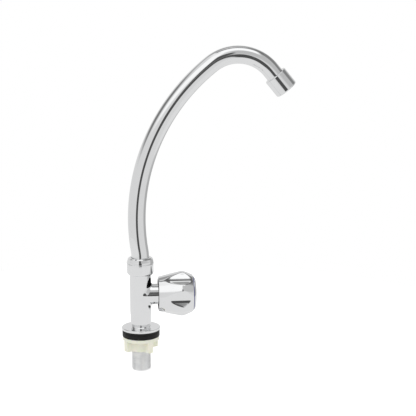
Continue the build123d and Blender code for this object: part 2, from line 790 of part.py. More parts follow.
# Aerator washer: rubber ring on the collar's inner step
with BuildPart() as aerator_washer:
    with BuildSketch(outlet_side):
        band(aerator_washer_bore, aerator_thread_radius, aerator_washer_start, aerator_start)
    revolve(axis=outlet_axis)
aerator_washer.part.label = "aerator_washer"
export_step(aerator_washer.part, "parts/aerator_washer.step")

# Aerator body: threaded cup with key notches in its lip
with BuildPart() as aerator_body:
    with BuildSketch(outlet_side):
        band(aerator_bore_radius, aerator_thread_radius, aerator_start, aerator_end)
        band(aerator_lip_radius, aerator_bore_radius, aerator_end - aerator_lip_thickness, aerator_end)
    revolve(axis=outlet_axis)
    with BuildSketch(outlet_section(aerator_end)):
        with PolarLocations(aerator_lip_radius, aerator_notch_count):
            Rectangle(aerator_notch_width, aerator_notch_width)
    extrude(amount=-aerator_lip_thickness, mode=Mode.SUBTRACT)
aerator_body.part.label = "aerator_body"
export_step(aerator_body.part, "parts/aerator_body.step")

# Aerator core: plug with a ring of holes that splits the flow
with BuildPart() as aerator_core:
    with BuildSketch(outlet_section(aerator_core_start)):
        Circle(aerator_bore_radius)
        with PolarLocations(aerator_core_hole_circle, aerator_core_hole_count):
            Circle(aerator_core_hole_radius, mode=Mode.SUBTRACT)
    extrude(amount=aerator_core_thickness)
aerator_core.part.label = "aerator_core"
export_step(aerator_core.part, "parts/aerator_core.step")

# Aerator mesh: grid of square holes inside a plain rim
with BuildPart() as aerator_mesh:
    with BuildSketch(outlet_section(mesh_start)):
        Circle(aerator_bore_radius)
        with GridLocations(mesh_pitch, mesh_pitch, mesh_holes_across, mesh_holes_across):
            Rectangle(mesh_hole, mesh_hole, mode=Mode.SUBTRACT)
    extrude(amount=mesh_thickness)
    with BuildSketch(outlet_section(mesh_start)):
        Circle(aerator_bore_radius)
        Circle(aerator_bore_radius - mesh_rim_width, mode=Mode.SUBTRACT)
    extrude(amount=mesh_thickness)
aerator_mesh.part.label = "aerator_mesh"
export_step(aerator_mesh.part, "parts/aerator_mesh.step")
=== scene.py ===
import json
from math import cos, hypot, pi, radians, sin, sqrt, tan

import bmesh
import bpy
from mathutils import Matrix, Vector


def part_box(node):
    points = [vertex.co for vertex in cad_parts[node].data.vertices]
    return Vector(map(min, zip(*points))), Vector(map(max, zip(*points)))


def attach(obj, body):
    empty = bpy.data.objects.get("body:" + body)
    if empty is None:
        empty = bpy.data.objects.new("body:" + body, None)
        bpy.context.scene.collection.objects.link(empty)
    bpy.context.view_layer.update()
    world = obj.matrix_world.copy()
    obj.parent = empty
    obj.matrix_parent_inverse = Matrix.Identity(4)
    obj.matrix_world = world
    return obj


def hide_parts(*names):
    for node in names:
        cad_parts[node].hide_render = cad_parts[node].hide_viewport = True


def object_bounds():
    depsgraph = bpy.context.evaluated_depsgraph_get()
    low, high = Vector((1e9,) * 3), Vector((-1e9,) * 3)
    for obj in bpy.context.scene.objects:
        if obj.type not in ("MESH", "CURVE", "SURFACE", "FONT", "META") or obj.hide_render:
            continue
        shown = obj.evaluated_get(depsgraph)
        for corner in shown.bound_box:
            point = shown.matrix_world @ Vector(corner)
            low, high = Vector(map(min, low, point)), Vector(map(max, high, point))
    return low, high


# Pillar tap with a swan-neck spout: the visible pieces, finishes, light and camera.
# All lengths are in metres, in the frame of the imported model.

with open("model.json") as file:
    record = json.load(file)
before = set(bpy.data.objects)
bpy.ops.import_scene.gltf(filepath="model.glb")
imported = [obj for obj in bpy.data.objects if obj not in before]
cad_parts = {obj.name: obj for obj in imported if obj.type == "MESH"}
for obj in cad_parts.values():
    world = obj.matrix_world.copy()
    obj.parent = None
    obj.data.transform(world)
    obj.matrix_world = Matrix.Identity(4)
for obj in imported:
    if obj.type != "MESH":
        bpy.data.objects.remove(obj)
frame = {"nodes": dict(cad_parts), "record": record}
cad_low, cad_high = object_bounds()
record = frame["record"]
slot_of = {part["node"]: part["material_slot"] for part in record["subparts"]}
body_of = {node: body for body, nodes in record["behaviour"]["bodies"].items() for node in nodes}
mm = 0.001

# Mesh fineness
lathe_segments = 144
knob_segments = 2 * lathe_segments
floor_segments = 96
corner_steps = 5
wide_corner_steps = 12
thread_rows_per_turn = 12
tube_step = 1.6 * mm
knob_step = 0.7 * mm
body_step = 0.5 * mm
smooth_limit = radians(31)

# Spout path: straight foot, lean back, long bend, crook and run into the collar
tube_radius = 9.48 * mm
tube_wall = 1.1 * mm
tube_bore = tube_radius - tube_wall
tube_straight = 4.6 * mm
tube_bends = ((40.0 * mm, radians(9.1)), (210.9 * mm, radians(-60.9)), (45.6 * mm, radians(-88.4)))
outlet_run = 7.0 * mm
tube_in_collar = 7.0 * mm

# Outlet collar
collar_radius = 12.5 * mm
collar_length = 20.0 * mm
collar_step = 9.5 * mm
aerator_thread_radius = 10.3 * mm

# Union nut, with the corners above its foot as inset from the skirt, drop from the top and rounding
nut_foot_bore = 11.62 * mm
nut_bore = 11.72 * mm
nut_bore_start = 2.0 * mm
nut_bore_full = 3.0 * mm
nut_opening = 9.85 * mm
nut_lip = 2.4 * mm
nut_foot_rounding = 2.85 * mm
nut_corners = (
    (0.0 * mm, 6.35 * mm, 0.25 * mm),
    (0.4 * mm, 6.1 * mm, 0.1 * mm),
    (0.2 * mm, 5.8 * mm, 0.15 * mm),
    (0.5 * mm, 3.9 * mm, 0.15 * mm),
    (0.75 * mm, 3.1 * mm, 0.15 * mm),
    (1.3 * mm, 1.1 * mm, 0.4 * mm),
    (2.7 * mm, 0.0 * mm, 0.3 * mm),
)

# Flange and the two rubber rings
flange_rim_drop = 0.4 * mm
flange_bead = 0.7 * mm
seal_bore = 10.6 * mm
seal_rounding = 0.35 * mm
washer_bore = 10.88 * mm
washer_rounding = 0.6 * mm

# Shank: threaded tail, plain neck under the body, and the spigot in the body
pipe_thread_pitch = 1.814 * mm
pipe_thread_depth = 1.162 * mm
shank_bore = 6.75 * mm
shank_chamfer = 1.4 * mm
shank_chamfer_slope = 0.9
neck_radius = 10.1 * mm
spigot_radius = 8.6 * mm

# Barrel of the body, which widens a little between two heights above its foot
barrel_foot_radius = 11.15 * mm
barrel_growth = 0.45 * mm
barrel_growth_start = 6.5 * mm
barrel_growth_end = 14.5 * mm
body_foot_edge = 0.5 * mm

# Side boss of the body, and the soft root that joins it to the barrel
boss_radius = 11.4 * mm
boss_edge = 0.4 * mm
boss_root = 2.4 * mm
# The root is fully soft from this far along the boss.
root_full = 7.0 * mm
# Points move on to the root up to this far along the boss, and beyond this radius of the barrel.
root_reach = 19.0 * mm
root_inner = 10.0 * mm
settle_probe = 0.01 * mm
settle_rounds = 5

# Waterways in the body
spigot_room = 2.0 * mm
spout_socket_depth = 18.4 * mm
passage_radius = 4.0 * mm
inlet_offset = -5.5 * mm
outlet_offset = 5.0 * mm
inlet_rise = 4.2 * mm
seat_hole_radius = 4.2 * mm
seat_pocket_radius = 6.0 * mm
seat_pocket_depth = 1.2 * mm
chamber_radius = 7.3 * mm
bonnet_thread_radius = 8.33 * mm
bonnet_thread_length = 9.3 * mm
overcut = 1.0 * mm

# Knob: the double cone and its hub, with heights from its rear and depths from its face
knob_mouth_radius = 16.8 * mm
knob_rear_radius = 18.8 * mm
knob_knee_radius = 25.2 * mm
knob_knee_height = 26.4 * mm
knob_knee_rounding = 7.5 * mm
knob_face_radius = 20.04 * mm
knob_face_rounding = 1.7 * mm
knob_hub_radius = 9.0 * mm
knob_hub_height = 20.0 * mm
knob_web_height = 22.8 * mm
knob_bush_radius = 6.5 * mm
knob_bush_depth = 9.3 * mm
screw_hole_radius = 5.0 * mm
cap_recess_depth = 5.9 * mm
# The knob's inside gets a near-black painted shade where it is nearer the axis than this and deeper
# than this from the face.
painted_shade_radius = 17.0 * mm
painted_shade_depth = 6.0 * mm

# Flutes of the knob
flute_count = 6
flute_start = radians(2.4)
flute_scoop_radius = 19.0 * mm
flute_floor_radius = 20.9 * mm
flute_edge_blend = 0.9 * mm

# Index cap in the knob's face
cap_plug_radius = 12.1 * mm
cap_plug_wall = 1.2 * mm
cap_crown_radius = 14.5 * mm
cap_crown_drop = 1.05 * mm
cap_edge = 0.3 * mm

# Floor and surroundings, where a strength of 1 is white
floor_z = cad_low.z
floor_radius = 0.5
floor_grey = (0.86, 0.86, 0.86)
floor_glow_seen = 0.4
floor_glow_mirrored = 0.82
backdrop_white = 1.0
room_level = 0.76

# Soft lamp, in metres and watts
lamp_size = 0.7
lamp_power = 1.2
lamp_place = Vector((-0.5, -0.7, 1.0))
lamp_aim = Vector((0.03, 0, 0.1))

# Camera, with its angles in degrees and its focal length in pixels of the photograph's frame
camera_place = (-0.0427, -1.1065, 0.3391)
camera_pitch = 10.4
camera_turn = 6.0
camera_focal = 1050.0
photo_width = 416.0
sensor_width = 36.0


# Node trees

class NodeTree:
    """Short ways to add nodes to a tree and join them.

    In a Mix node, numbers go in at 2 and 3 and out at 0, colours in at 6 and 7 and out at 2."""

    def __init__(self, tree):
        self.tree = tree

    def join(self, value, socket):
        """Links an output to the socket, or gives the socket a plain value."""
        if isinstance(value, bpy.types.NodeSocket):
            self.tree.links.new(value, socket)
        else:
            socket.default_value = value

    def node(self, kind, inputs=(), **settings):
        """New shader node of a kind, with its inputs by name or number."""
        made = self.tree.nodes.new("ShaderNode" + kind)
        for key, value in settings.items():
            setattr(made, key, value)
        for key, value in dict(inputs).items():
            self.join(value, made.inputs[key])
        return made

    def math(self, operation, first, second=0.0, third=0.0):
        """Result of a sum or function of up to three values."""
        made = self.node("Math", {0: first, 1: second, 2: third}, operation=operation)
        return made.outputs["Value"]

    def spread(self, value, low, high, start=0.0, end=1.0, easing="LINEAR"):
        """Value moved from the span low to high into the span start to end."""
        inputs = {"Value": value, "From Min": low, "From Max": high, "To Min": start, "To Max": end}
        made = self.node("MapRange", inputs, interpolation_type=easing)
        return made.outputs["Result"]

    def between(self, share, first, second):
        """Number between two numbers."""
        made = self.node("Mix", {0: share, 2: first, 3: second}, data_type="FLOAT")
        return made.outputs[0]


class Finish(NodeTree):
    """Material whose colour, roughness and relief vary over the plain values it starts from."""

    def __init__(self, name, colour, roughness, metallic=0.0):
        self.material = bpy.data.materials.new(name)
        self.material.use_nodes = True
        super().__init__(self.material.node_tree)
        self.shader = self.tree.nodes["Principled BSDF"]
        self.set("Base Color", (*colour, 1))
        self.set("Roughness", roughness)
        self.set("Metallic", metallic)
        self.place = self.node("TexCoord").outputs["Object"]

    def set(self, socket, value):
        """Gives one of the shader's inputs a plain value or a link."""
        self.join(value, self.shader.inputs[socket])

    def noise(self, size, detail=2.0, stretch=(1, 1, 1)):
        """Noise with features of about that size."""
        scaled = self.node("Mapping", {"Vector": self.place, "Scale": stretch})
        inputs = {"Vector": scaled.outputs["Vector"], "Scale": 1 / size, "Detail": detail}
        return self.node("TexNoise", inputs).outputs["Fac"]

    def tint(self, share, first, second):
        """Base colour between two colours."""
        inputs = {0: share, 6: (*first, 1), 7: (*second, 1)}
        self.set("Base Color", self.node("Mix", inputs, data_type="RGBA").outputs[2])

    def gloss(self, value, low, high, smooth, rough):
        """Roughness from smooth to rough, as the value goes from low to high."""
        self.set("Roughness", self.spread(value, low, high, smooth, rough))

    def relief(self, *layers):
        """Bump of several heights, each with its depth in metres."""
        normal = None
        for height, depth in layers:
            inputs = {"Height": height, "Distance": depth, "Strength": 1.0}
            if normal is not None:
                inputs["Normal"] = normal
            normal = self.node("Bump", inputs).outputs["Normal"]
        self.set("Normal", normal)


# Finishes

def chrome_finish():
    """Bright plating with faint smudges and a trace of orange peel."""
    finish = Finish("chrome_plating", (0.85, 0.855, 0.86), 0.05, 1.0)
    smudge = finish.noise(14 * mm, 4)
    film = finish.noise(3 * mm, 3)
    peel = finish.noise(1.3 * mm, 2)
    wave = finish.noise(22 * mm, 1)
    finish.tint(finish.spread(smudge, 0.3, 0.7), (0.84, 0.845, 0.85), (0.86, 0.865, 0.87))
    finish.gloss(finish.math("MULTIPLY", smudge, film), 0.15, 0.4, 0.035, 0.085)
    finish.relief((wave, 0.03 * mm), (peel, 0.0006 * mm))
    return finish.material


def thread_finish():
    """Dull plated brass with a fine grain round the thread and faint stains."""
    finish = Finish("plated_thread_metal", (0.6, 0.6, 0.6), 0.38, 1.0)
    stain = finish.noise(5 * mm, 4)
    grain = finish.noise(0.35 * mm, 3, (1, 1, 6))
    finish.tint(finish.spread(stain, 0.3, 0.7), (0.86, 0.865, 0.87), (0.97, 0.97, 0.97))
    finish.gloss(grain, 0.25, 0.75, 0.18, 0.36)
    finish.relief((grain, 0.02 * mm), (stain, 0.05 * mm))
    return finish.material


def cream_finish():
    """Moulded nylon, cream with faint green and warm clouds."""
    finish = Finish("cream_nylon", (0.76, 0.75, 0.6), 0.42)
    cloud = finish.noise(9 * mm, 2)
    speck = finish.noise(0.8 * mm, 3)
    finish.tint(finish.spread(cloud, 0.35, 0.65), (0.78, 0.8, 0.66), (0.86, 0.82, 0.72))
    finish.gloss(speck, 0.3, 0.7, 0.36, 0.5)
    finish.set("Subsurface Weight", 0.25)
    finish.set("Subsurface Radius", (0.004, 0.0035, 0.002))
    finish.set("Subsurface Scale", 1.0)
    finish.relief((cloud, 0.12 * mm), (speck, 0.012 * mm))
    return finish.material


def rubber_finish():
    """Black moulded rubber with a dusty bloom."""
    finish = Finish("black_rubber_compound", (0.008, 0.008, 0.008), 0.5)
    bloom = finish.noise(6 * mm, 4)
    grain = finish.noise(0.3 * mm, 2)
    finish.tint(finish.spread(bloom, 0.4, 0.75), (0.005, 0.005, 0.005), (0.013, 0.013, 0.012))
    finish.gloss(bloom, 0.3, 0.7, 0.36, 0.6)
    finish.set("Specular IOR Level", 0.25)
    finish.relief((grain, 0.01 * mm))
    return finish.material


def brass_finish():
    """Turned brass with fine tool rings and a light tarnish."""
    finish = Finish("turned_brass", (0.72, 0.5, 0.2), 0.28, 1.0)
    tarnish = finish.noise(4 * mm, 4)
    ring = finish.noise(0.12 * mm, 1, (1, 0.05, 0.05))
    finish.tint(finish.spread(tarnish, 0.35, 0.7), (0.78, 0.57, 0.25), (0.58, 0.4, 0.17))
    finish.gloss(tarnish, 0.3, 0.7, 0.22, 0.4)
    finish.relief((ring, 0.006 * mm))
    return finish.material


def steel_finish():
    """Satin stainless steel."""
    finish = Finish("satin_steel", (0.6, 0.6, 0.61), 0.3, 1.0)
    grain = finish.noise(0.2 * mm, 2, (1, 8, 1))
    stain = finish.noise(3 * mm, 2)
    finish.tint(stain, (0.55, 0.55, 0.56), (0.66, 0.66, 0.67))
    finish.gloss(grain, 0.3, 0.7, 0.22, 0.38)
    finish.relief((grain, 0.004 * mm))
    return finish.material


def fibre_finish():
    """Pressed red fibre with short strands."""
    finish = Finish("pressed_fibre", (0.35, 0.06, 0.04), 0.8)
    strand = finish.noise(0.4 * mm, 4, (1, 5, 1))
    finish.tint(strand, (0.24, 0.04, 0.03), (0.46, 0.1, 0.06))
    finish.gloss(strand, 0.3, 0.7, 0.7, 0.9)
    finish.relief((strand, 0.05 * mm))
    return finish.material


def white_finish():
    """White moulded plastic."""
    finish = Finish("white_moulding", (0.8, 0.8, 0.78), 0.38)
    cloud = finish.noise(4 * mm, 3)
    finish.tint(cloud, (0.77, 0.77, 0.74), (0.84, 0.84, 0.82))
    finish.gloss(cloud, 0.3, 0.7, 0.32, 0.46)
    finish.relief((cloud, 0.02 * mm))
    return finish.material


def blue_finish():
    """Deep blue glossy plastic."""
    finish = Finish("blue_moulding", (0.02, 0.03, 0.2), 0.2)
    cloud = finish.noise(3 * mm, 2)
    finish.tint(cloud, (0.016, 0.022, 0.16), (0.03, 0.045, 0.26))
    finish.gloss(cloud, 0.3, 0.7, 0.14, 0.28)
    finish.set("Coat Weight", 0.3)
    finish.relief((cloud, 0.01 * mm))
    return finish.material


def knob_shade_finish():
    """Near-black painted shade for the inside of the knob's moulding, standing in for the shadow in
    its hollow.
    """
    finish = Finish("knob_inside_painted_shade", (0.03, 0.03, 0.032), 0.5)
    cloud = finish.noise(3 * mm, 3)
    finish.tint(cloud, (0.02, 0.02, 0.021), (0.045, 0.045, 0.048))
    finish.gloss(cloud, 0.3, 0.7, 0.42, 0.6)
    finish.relief((cloud, 0.02 * mm))
    return finish.material


# Near-black painted shade for the hollow inside of the knob
knob_painted_shade = knob_shade_finish()
finishes = {
    "chrome": chrome_finish(),
    "plated_thread": thread_finish(),
    "cream_plastic": cream_finish(),
    "black_rubber": rubber_finish(),
    "brass": brass_finish(),
    "steel": steel_finish(),
    "fibre": fibre_finish(),
    "white_plastic": white_finish(),
    "blue_plastic": blue_finish(),
}
for node, piece in frame["nodes"].items():
    piece.data.materials.clear()
    piece.data.materials.append(finishes[slot_of[node]])


# Mesh helpers

def arc(centre, first, turn, steps):
    """Points round a centre, from the end of the arm first through an angle."""
    points = []
    for step in range(steps + 1):
        arm = first.copy()
        arm.rotate(Matrix.Rotation(-turn * step / steps, 2))
        points.append(centre + arm)
    return points


def rounded(corners, steps=corner_steps):
    """Closed outline through corners of (across, along, radius), each rounded by its radius."""
    outline = []
    for index, (across, along, radius) in enumerate(corners):
        here = Vector((across, along))
        if radius == 0:
            outline.append(here)
            continue
        before = (Vector(corners[index - 1][:2]) - here).normalized()
        after = (Vector(corners[(index + 1) % len(corners)][:2]) - here).normalized()
        half = before.angle(after) / 2
        centre = here + (before + after).normalized() * (radius / sin(half))
        first = here + before * (radius / tan(half)) - centre
        last = here + after * (radius / tan(half)) - centre
        outline += arc(centre, first, first.angle_signed(last), steps)
    return outline


def tangent_arc(start, end, direction):
    """Arc from start to end that leaves start along a direction, with its direction at the end."""
    chord = end - start
    across = Vector((-direction.y, direction.x)).normalized()
    radius = chord.length_squared / (2 * chord.dot(across))
    centre = start + across * radius
    first = start - centre
    turn = first.angle_signed(end - centre)
    leaving = direction.normalized()
    leaving.rotate(Matrix.Rotation(-turn, 2))
    return arc(centre, first, turn, wide_corner_steps), leaving


def skin(name, rings):
    """Closed mesh over rings of points, the last joined to the first. A ring may be one point."""
    made = bmesh.new()
    rows = [[made.verts.new(point) for point in ring] for ring in rings]
    for low, high in zip(rows, rows[1:] + rows[:1]):
        count = max(len(low), len(high))
        if count == 1:
            continue
        for index in range(count):
            after = (index + 1) % count
            corners = [low[index % len(low)], low[after % len(low)]]
            corners += [high[after % len(high)], high[index % len(high)]]
            made.faces.new(dict.fromkeys(corners))
    bmesh.ops.recalc_face_normals(made, faces=made.faces)
    mesh = bpy.data.meshes.new(name)
    made.to_mesh(mesh)
    made.free()
    piece = bpy.data.objects.new(name, mesh)
    bpy.context.scene.collection.objects.link(piece)
    return piece


def circle(radius, along, place=Matrix.Identity(4), segments=lathe_segments):
    """Ring of points round the local Z axis of a place, or one point where the radius is zero."""
    if radius == 0:
        return [place @ Vector((0, 0, along))]
    turns = [2 * pi * index / segments for index in range(segments)]
    return [place @ Vector((radius * cos(turn), radius * sin(turn), along)) for turn in turns]


def lathe(name, outline, place=Matrix.Identity(4)):
    """Solid of revolution of a closed outline of (radius, height) round a place's Z axis."""
    return skin(name, [circle(across, along, place) for across, along in outline])


def rod(name, spans, place=Matrix.Identity(4)):
    """Closed stepped rod of (radius, start, end) spans along a place's Z axis."""
    outline = [(0, spans[0][1])]
    for radius, start, end in spans:
        outline += [(radius, start), (radius, end)]
    outline.append((0, spans[-1][2]))
    return lathe(name, outline, place)


def carve(piece, tool, operation):
    """The piece joined with the tool, or cut by it, which is deleted."""
    change = piece.modifiers.new("carve", "BOOLEAN")
    change.operation = operation
    change.object = tool
    change.solver = "EXACT"
    view = bpy.context.evaluated_depsgraph_get()
    mesh = bpy.data.meshes.new_from_object(piece.evaluated_get(view))
    piece.modifiers.clear()
    old = piece.data
    piece.data = mesh
    bpy.data.meshes.remove(old)
    bpy.data.objects.remove(tool)


def shade(piece):
    """Smooth shading that keeps flat faces flat and sharp edges sharp."""
    for polygon in piece.data.polygons:
        polygon.use_smooth = True
    piece.data.set_sharp_from_angle(angle=smooth_limit)
    normals = piece.modifiers.new("face_weighted_normals", "WEIGHTED_NORMAL")
    normals.keep_sharp = True


def stand_for(piece, node):
    """The piece is shown in the node's place, on its body and in its finish."""
    piece.data.materials.clear()
    piece.data.materials.append(finishes[slot_of[node]])
    shade(piece)
    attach(piece, body_of[node])
    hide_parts(node)


def smooth_step(value, start, end):
    """0 before start and 1 after end, easing between them."""
    share = min(max((value - start) / (end - start), 0), 1)
    return share * share * (3 - 2 * share)


def soft_least(first, second, soft):
    """Lesser of two values, rounded off where they differ by less than soft."""
    share = max(soft - abs(first - second), 0) / soft
    return min(first, second) - share * share * soft / 4


# Places of the axes
body_foot_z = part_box("tap_body")[0].z
valve_low, valve_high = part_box("knob")
valve_axis_z = (valve_low.z + valve_high.z) / 2
# The local Z axis runs along the valve to +X, and local X points down.
valve_place = Matrix.Translation((0, 0, valve_axis_z)) @ Matrix.Rotation(pi / 2, 4, "Y")


# Spout

def spout_path():
    """Points of the spout's centreline with their direction as an angle above +X."""
    point = Vector((0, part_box("spout_tube")[0].z))
    angle = pi / 2
    path = [(point.copy(), angle)]
    point = point + Vector((0, tube_straight))
    path.append((point.copy(), angle))
    for radius, turn in tube_bends:
        side = 1 if turn > 0 else -1
        centre = point + Vector((cos(angle + side * pi / 2), sin(angle + side * pi / 2))) * radius
        steps = round(abs(turn) * radius / tube_step)
        for step in range(1, steps + 1):
            here = angle + turn * step / steps
            arm = Vector((cos(here - side * pi / 2), sin(here - side * pi / 2))) * radius
            path.append((centre + arm, here))
        angle = angle + turn
        point = path[-1][0]
    direction = Vector((cos(angle), sin(angle)))
    collar_start = point + direction * outlet_run
    path.append((collar_start, angle))
    path.append((collar_start + direction * tube_in_collar, angle))
    return path, place_on_path(collar_start, angle)


def place_on_path(point, angle):
    """Place at a point of the spout's path, with its local Z axis along the path."""
    return Matrix.Translation((point.x, 0, point.y)) @ Matrix.Rotation(pi / 2 - angle, 4, "Y")


path, outlet_place = spout_path()


def bent_tube():
    """Spout tube, with its inner wall."""
    rings = [circle(tube_radius, 0, place_on_path(*stop)) for stop in path]
    rings += [circle(tube_bore, 0, place_on_path(*stop)) for stop in reversed(path)]
    stand_for(skin("bent_tube", rings), "spout_tube")


def outlet_sleeve():
    """Collar on the spout's end, threaded inside for the aerator."""
    outline = rounded([
        (tube_radius, 0, 0.15 * mm),
        (collar_radius, 0, 0.7 * mm),
        (collar_radius, collar_length, 1.4 * mm),
        (aerator_thread_radius, collar_length, 0.3 * mm),
        (aerator_thread_radius, collar_step, 0),
        (tube_bore, collar_step, 0),
        (tube_bore, tube_in_collar, 0),
        (tube_radius, tube_in_collar, 0),
    ])
    stand_for(lathe("outlet_sleeve", outline, outlet_place), "outlet_collar")


def union_nut():
    """Round nut on the body's top, with a rounded foot and two tapered bands above its skirt."""
    low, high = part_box("spout_nut")
    radius = high.x
    lip = high.z - nut_lip
    corners = [(nut_foot_bore, low.z, 0), (radius, low.z, nut_foot_rounding)]
    corners += [(radius - inset, high.z - drop, rounding) for inset, drop, rounding in nut_corners]
    corners += [
        (nut_opening, high.z, 0.2 * mm),
        (nut_opening, lip, 0),
        (nut_bore, lip, 0),
        (nut_bore, low.z + nut_bore_full, 0),
        (nut_foot_bore, low.z + nut_bore_start, 0),
    ]
    stand_for(lathe("union_nut", rounded(corners)), "spout_nut")


# Base and shank

def deck_flange():
    """Nearly flat polished flange on the shank's neck, with a rounded rim and a bead at the neck."""
    low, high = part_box("base_flange")
    outline = rounded([
        (neck_radius, low.z, 0),
        (high.x, low.z, 0.2 * mm),
        (high.x, high.z - flange_rim_drop, 0.8 * mm),
        (neck_radius + flange_bead, high.z, 0.4 * mm),
        (neck_radius, high.z + flange_bead, 0),
    ])
    stand_for(lathe("deck_flange", outline), "base_flange")


def rubber_ring(name, node, bore, rounding):
    """Flat rubber ring with soft edges."""
    low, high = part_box(node)
    outline = rounded([
        (bore, low.z, 0.1 * mm),
        (high.x, low.z, rounding),
        (high.x, high.z, rounding),
        (bore, high.z, 0.1 * mm),
    ])
    stand_for(lathe(name, outline), node)


def threaded_shank():
    """Shank's tail, with its helical pipe thread."""
    low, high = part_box("shank")
    crest = high.x
    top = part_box("base_flange")[0].z
    rows = round((top - low.z) / pipe_thread_pitch * thread_rows_per_turn)
    rings = [circle(shank_bore, top), circle(shank_bore, low.z)]
    for row in range(rows + 1):
        height = low.z + (top - low.z) * row / rows
        limit = min(crest, crest - shank_chamfer + (height - low.z) * shank_chamfer_slope)
        ring = []
        for index in range(lathe_segments):
            turn = 2 * pi * index / lathe_segments
            wave = cos(2 * pi * height / pipe_thread_pitch - turn)
            radius = min(limit, crest - pipe_thread_depth * (1 - wave) / 2)
            ring.append((radius * cos(turn), radius * sin(turn), height))
        rings.append(ring)
    stand_for(skin("threaded_shank", rings), "shank")


def polished_neck():
    """Shank's plain neck under the body and its spigot in the body, plated like the body."""
    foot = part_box("base_flange")[0].z
    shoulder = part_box("tap_body")[0].z
    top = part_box("shank")[1].z
    outline = [
        (shank_bore, foot),
        (neck_radius, foot),
        (neck_radius, shoulder),
        (spigot_radius, shoulder),
        (spigot_radius, top),
        (shank_bore, top),
    ]
    neck = lathe("polished_neck", outline)
    stand_for(neck, "shank")
    neck.data.materials[0] = finishes["chrome"]


# Body

def barrel_radius(height):
    """Radius of the body's round barrel at a height."""
    start = body_foot_z + barrel_growth_start
    end = body_foot_z + barrel_growth_end
    return barrel_foot_radius + barrel_growth * smooth_step(height, start, end)


def tee_distance(point):
    """Distance outside the body's barrel and boss, joined by a soft root."""
    barrel = hypot(point.x, point.y) - barrel_radius(point.z)
    boss = hypot(point.y, point.z - valve_axis_z) - boss_radius
    root = boss_root * smooth_step(point.x, 0, root_full)
    return soft_least(barrel, boss, root) if root > 0 else barrel


def settle(point):
    """Point moved on to the soft root between barrel and boss."""
    probes = [Vector(axis) * settle_probe for axis in ((1, 0, 0), (0, 1, 0), (0, 0, 1))]
    for attempt in range(settle_rounds):
        here = tee_distance(point)
        slope = Vector([tee_distance(point + probe) - here for probe in probes]) / settle_probe
        point = point - slope * (here / slope.length_squared)
    return point


def soften_root(body):
    """Moves the body's points near the boss's foot on to the soft root."""
    for vertex in body.data.vertices:
        point = vertex.co
        near = hypot(point.y, point.z - valve_axis_z) < boss_radius + 2 * boss_root
        if near and 0 < point.x < root_reach and hypot(point.x, point.y) > root_inner:
            vertex.co = settle(point)


def cut_waterways(body, low, high):
    """Cuts the sockets of shank and spout, the passages and the valve's chamber."""
    shank_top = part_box("shank")[1].z
    spout_floor = high.z - spout_socket_depth
    bonnet_end = high.x - bonnet_thread_length
    middle = Matrix.Identity(4)
    inlet = Matrix.Translation((inlet_offset, 0, 0))
    outlet = Matrix.Translation((outlet_offset, 0, 0))
    chamber = [
        (seat_hole_radius, inlet_offset, 0),
        (seat_pocket_radius, 0, seat_pocket_depth),
        (chamber_radius, seat_pocket_depth, bonnet_end),
        (bonnet_thread_radius, bonnet_end, high.x + overcut),
    ]
    cuts = (
        ([(spigot_radius, low.z - overcut, shank_top + spigot_room)], middle),
        ([(spigot_radius, spout_floor, high.z + overcut)], middle),
        ([(passage_radius, shank_top, valve_axis_z + inlet_rise)], inlet),
        ([(passage_radius, valve_axis_z, spout_floor + overcut)], outlet),
        (chamber, valve_place),
    )
    for spans, place in cuts:
        carve(body, rod("tool", spans, place), "DIFFERENCE")


def valve_body():
    """Barrel with a soft foot and a side boss growing out of it, hollow inside."""
    low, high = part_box("tap_body")
    foot = body_foot_edge
    rows = round((high.z - low.z) / body_step)
    heights = [low.z + foot + (high.z - low.z - foot) * row / rows for row in range(rows + 1)]
    outline = [(0, low.z), (barrel_radius(low.z) - foot, low.z)]
    outline += [(barrel_radius(height), height) for height in heights]
    outline.append((0, high.z))
    body = lathe("valve_body", outline)
    rows = round(high.x / body_step)
    outline = [(0, 0)]
    outline += [(boss_radius, (high.x - boss_edge) * row / rows) for row in range(rows + 1)]
    outline += [(boss_radius - boss_edge, high.x), (0, high.x)]
    carve(body, lathe("boss", outline, valve_place), "UNION")
    soften_root(body)
    cut_waterways(body, low, high)
    stand_for(body, "tap_body")


# Knob

def fluted_radius(radius, turn):
    """Radius of the knob at an angle, where a flute may cut below the round profile."""
    step = 2 * pi / flute_count
    offset = (turn - flute_start + step / 2) % step - step / 2
    middle = flute_floor_radius + flute_scoop_radius
    reach = flute_scoop_radius ** 2 - (middle * sin(offset)) ** 2
    if reach <= 0:
        return radius
    return soft_least(radius, middle * cos(offset) - sqrt(reach), flute_edge_blend)


def knob_outline(rear, face):
    """Outline of the hollow double cone without its flutes, with a point about every knob_step."""
    recess = face - cap_recess_depth
    bush_end = face - knob_bush_depth
    hub_end = rear + knob_hub_height
    web = rear + knob_web_height
    outline = rounded([
        (knob_mouth_radius, rear, 0.3 * mm),
        (knob_rear_radius, rear, 0.6 * mm),
        (knob_knee_radius, rear + knob_knee_height, knob_knee_rounding),
        (knob_face_radius, face, knob_face_rounding),
        (cap_plug_radius, face, 0.2 * mm),
        (cap_plug_radius, recess, 0),
        (screw_hole_radius, recess, 0),
        (screw_hole_radius, bush_end, 0),
        (knob_bush_radius, bush_end, 0),
        (knob_bush_radius, hub_end, 0),
        (knob_hub_radius, hub_end, 0),
        (knob_hub_radius, web, 0),
        (knob_mouth_radius, web, 0),
    ], wide_corner_steps)
    dense = []
    for first, second in zip(outline, outline[1:] + outline[:1]):
        parts = max(1, round((second - first).length / knob_step))
        dense += [first.lerp(second, part / parts) for part in range(parts)]
    return dense


